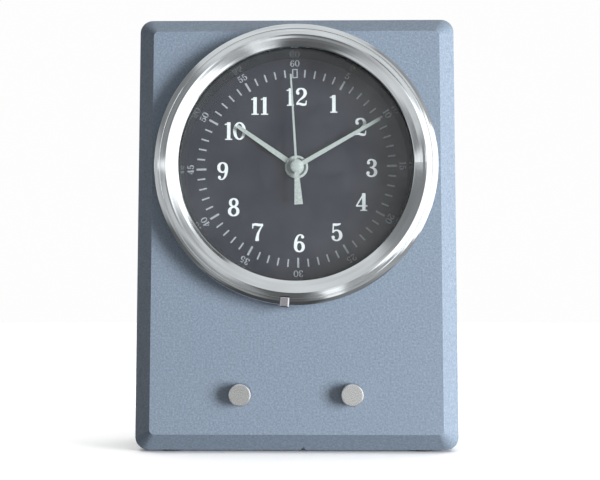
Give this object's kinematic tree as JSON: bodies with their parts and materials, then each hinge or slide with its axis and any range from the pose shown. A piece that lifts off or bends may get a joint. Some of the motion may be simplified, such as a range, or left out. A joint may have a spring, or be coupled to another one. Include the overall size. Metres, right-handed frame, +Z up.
{
  "type": "marine chronometer",
  "caption": "Rectangular metal-cased marine chronometer with a round glazed dial under a chromed screw bezel, central hands, push buttons below and a screwed rear cover.",
  "frame": {"origin": "centre of the bounding box in plan, at the height of the feet's undersides", "axes": "+X to the right seen from the front, +Y towards the rear cover, +Z up; the dial faces -Y"},
  "size_m": [0.15, 0.074, 0.2041],
  "materials": {
    "hammer_paint": "silver blue-grey fine hammer paint",
    "cover_paint": "blue-grey paint",
    "gasket_rubber": "black rubber",
    "foot_rubber": "black rubber",
    "screw_steel": "bright steel screws",
    "plate_steel": "zinc plated steel",
    "bezel_chrome": "polished chrome",
    "lug_chrome": "polished chrome",
    "seat_metal": "turned aluminium",
    "glass_clear": "clear flat glass",
    "spring_steel": "spring steel",
    "reflector_black": "dark polished ring",
    "dial_black": "satin charcoal dial",
    "carrier_metal": "sheet aluminium",
    "hand_metal": "satin silver hands",
    "movement_brass": "brass plate",
    "wheel_brass": "brass wheels",
    "pinion_steel": "steel",
    "rotor_black": "dark rotor magnet",
    "knob_plastic": "black knurled knob",
    "stator_steel": "stator lamination",
    "bobbin_plastic": "natural plastic",
    "copper_wire": "enamelled copper winding",
    "board_green": "green circuit board",
    "chip_black": "black package",
    "crystal_can": "nickel can",
    "box_plastic": "black box",
    "cell_sleeve": "plain blue sleeve",
    "contact_nickel": "nickel plated contacts",
    "door_plastic": "black door",
    "lead_red": "red lead",
    "lead_black": "black lead",
    "lead_grey": "grey leads",
    "button_metal": "satin button",
    "switch_black": "black switches"
  },
  "bodies": {
    "case": {"front_housing": "hammer_paint", "rear_cover": "cover_paint", "rear_gasket": "gasket_rubber", "rear_screws": "screw_steel", "feet": "foot_rubber", "hanger_plates": "plate_steel", "hanger_rivets": "screw_steel", "bezel_seat_ring": "seat_metal", "seat_screws": "screw_steel", "bezel_gasket": "gasket_rubber", "reflector_ring": "reflector_black", "dial_plate": "dial_black", "dial_carrier": "carrier_metal", "carrier_screws": "screw_steel", "movement_front_plate": "movement_brass", "movement_rear_plate": "movement_brass", "movement_pillars": "pinion_steel", "movement_screws": "screw_steel", "stator": "stator_steel", "coil_bobbin": "bobbin_plastic", "coil_winding": "copper_wire", "circuit_board": "board_green", "chip": "chip_black", "crystal": "crystal_can", "battery_box": "box_plastic", "battery_box_screws": "screw_steel", "cells": "cell_sleeve", "battery_contacts": "contact_nickel", "door_hinge_pin": "pinion_steel", "battery_lead_plus": "lead_red", "battery_lead_minus": "lead_black", "switch_board": "board_green", "switches": "switch_black", "board_screws": "screw_steel", "switch_leads": "lead_grey", "button_spring_left": "spring_steel", "button_spring_right": "spring_steel"},
    "bezel_carriage": {"glass": "glass_clear", "glass_gasket": "gasket_rubber"},
    "bezel": {"bezel_ring": "bezel_chrome", "bezel_lug": "lug_chrome", "glass_retainer": "spring_steel"},
    "minute": {"minute_hand": "hand_metal", "cannon_pinion": "pinion_steel", "centre_wheel": "wheel_brass"},
    "hour": {"hour_hand": "hand_metal", "hour_wheel": "wheel_brass"},
    "seconds": {"seconds_hand": "hand_metal", "seconds_wheel": "wheel_brass"},
    "third": {"third_wheel": "wheel_brass"},
    "intermediate": {"intermediate_wheel": "wheel_brass"},
    "rotor": {"rotor": "rotor_black"},
    "motion_work": {"minute_wheel": "wheel_brass"},
    "knob": {"setting_knob": "knob_plastic"},
    "button_l": {"button_left": "button_metal"},
    "button_r": {"button_right": "button_metal"},
    "door": {"battery_door": "door_plastic"}
  },
  "joints": [
    {"name": "bezel_travel", "type": "slide", "parent": "case", "child": "bezel_carriage", "axis": [0, -1, 0], "range_m": [0, 0.003]},
    {"name": "bezel_turn", "type": "hinge", "parent": "bezel_carriage", "child": "bezel", "pos_m": [0, -0.03, 0.13245], "axis": [0, -1, 0], "range_deg": [0, 720]},
    {"name": "minute_turn", "type": "hinge", "parent": "case", "child": "minute", "pos_m": [0, -0.017, 0.13245], "axis": [0, 1, 0], "continuous": true},
    {"name": "hour_turn", "type": "hinge", "parent": "case", "child": "hour", "pos_m": [0, -0.019, 0.13245], "axis": [0, 1, 0], "continuous": true},
    {"name": "seconds_turn", "type": "hinge", "parent": "case", "child": "seconds", "pos_m": [0, -0.011, 0.13245], "axis": [0, 1, 0], "continuous": true},
    {"name": "third_turn", "type": "hinge", "parent": "case", "child": "third", "pos_m": [0, -0.009, 0.15045], "axis": [0, 1, 0], "continuous": true},
    {"name": "intermediate_turn", "type": "hinge", "parent": "case", "child": "intermediate", "pos_m": [0.01157, -0.007, 0.11866], "axis": [0, 1, 0], "continuous": true},
    {"name": "rotor_turn", "type": "hinge", "parent": "case", "child": "rotor", "pos_m": [0.02209, -0.003, 0.11483], "axis": [0, 1, 0], "continuous": true},
    {"name": "motion_work_turn", "type": "hinge", "parent": "case", "child": "motion_work", "pos_m": [-0.01175, -0.014, 0.12817], "axis": [0, 1, 0], "continuous": true},
    {"name": "knob_turn", "type": "hinge", "parent": "case", "child": "knob", "pos_m": [-0.02199, 0.003, 0.12101], "axis": [0, 1, 0], "continuous": true},
    {"name": "button_left_press", "type": "slide", "parent": "case", "child": "button_l", "axis": [0, 1, 0], "range_m": [0, 0.0025], "stiffness_N_per_m": 300, "springref_m": -0.004, "deforming": ["button_spring_left"]},
    {"name": "button_right_press", "type": "slide", "parent": "case", "child": "button_r", "axis": [0, 1, 0], "range_m": [0, 0.0025], "stiffness_N_per_m": 300, "springref_m": -0.004, "deforming": ["button_spring_right"]},
    {"name": "door_swing", "type": "hinge", "parent": "case", "child": "door", "pos_m": [0, 0.0352, 0.0323], "axis": [-1, 0, 0], "range_deg": [0, 120]}
  ],
  "couplings": [
    {"joint": "bezel_travel", "follows": "bezel_turn", "m_per_rad": 0.00023873},
    {"joint": "hour_turn", "follows": "minute_turn", "ratio": 0.083333},
    {"joint": "seconds_turn", "follows": "minute_turn", "ratio": 60},
    {"joint": "third_turn", "follows": "minute_turn", "ratio": -8},
    {"joint": "intermediate_turn", "follows": "minute_turn", "ratio": -300},
    {"joint": "rotor_turn", "follows": "minute_turn", "ratio": 1800},
    {"joint": "motion_work_turn", "follows": "minute_turn", "ratio": -0.33333},
    {"joint": "knob_turn", "follows": "minute_turn", "ratio": 1}
  ]
}
